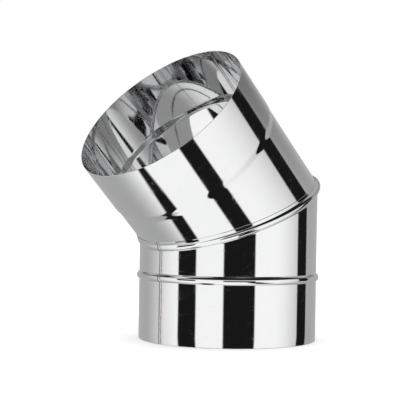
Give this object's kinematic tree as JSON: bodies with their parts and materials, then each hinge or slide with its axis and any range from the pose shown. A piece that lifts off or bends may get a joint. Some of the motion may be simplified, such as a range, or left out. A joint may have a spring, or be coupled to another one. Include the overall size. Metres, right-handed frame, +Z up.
{
  "type": "flue elbow",
  "caption": "Single-wall 45 degree flue elbow in bright stainless sheet: a beaded spigot segment and an expanded socket segment joined in a fixed mitre seam.",
  "frame": {"origin": "centre of the spigot's rim, in the plane that the elbow stands on", "axes": "+Z up along the lower tube's axis; the upper tube leans 45 degrees towards +X in the XZ plane, so the throat is at +X and the heel at -X; Y is across the bend"},
  "size_m": [0.211, 0.1554, 0.2432],
  "materials": {
    "bright_stainless": "mirror-bright annealed stainless steel sheet",
    "weld_stainless": "stainless weld, slightly dull"
  },
  "bodies": {
    "root": {"lower_segment": "bright_stainless", "upper_segment": "bright_stainless", "lower_weld": "weld_stainless", "upper_weld": "weld_stainless"}
  },
  "joints": []
}
